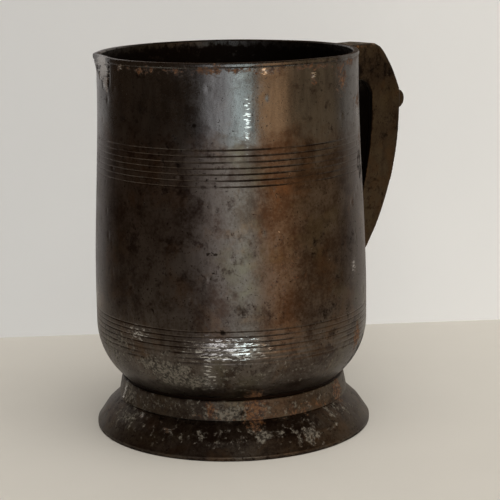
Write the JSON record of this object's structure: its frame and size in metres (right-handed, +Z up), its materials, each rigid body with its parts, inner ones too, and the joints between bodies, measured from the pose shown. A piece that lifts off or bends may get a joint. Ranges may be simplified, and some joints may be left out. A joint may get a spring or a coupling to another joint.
{
  "type": "tankard",
  "caption": "Lidless pewter tankard with a straight-sided drum, rounded bowl, flared foot and hollow broken handle with a spur.",
  "frame": {"origin": "on the axis of the round body, in the plane that the foot rests on", "axes": "+Z up along the body's axis; +X from the axis towards the handle; +Y across the handle"},
  "size_m": [0.1275, 0.0908, 0.1225],
  "materials": {
    "pewter_body": "dark patinated pewter with worn, scratched bright spots and rust-brown stains",
    "pewter_foot": "dark patinated pewter with grey-green corrosion patches",
    "pewter_handle": "matte olive-brown patinated pewter",
    "solder": "dull tarnished soft solder"
  },
  "bodies": {
    "root": {"drum": "pewter_body", "lip_band": "pewter_body", "bowl": "pewter_body", "floor_disc": "pewter_body", "foot_collar": "pewter_foot", "foot_skirt": "pewter_foot", "handle_shell": "pewter_handle", "handle_strap": "pewter_handle", "handle_spur": "pewter_handle", "lip_solder": "solder", "seam_solder": "solder", "floor_solder": "solder", "collar_solder": "solder", "skirt_solder": "solder", "handle_top_solder": "solder", "handle_foot_solder": "solder", "handle_edge_solder": "solder"}
  },
  "joints": []
}
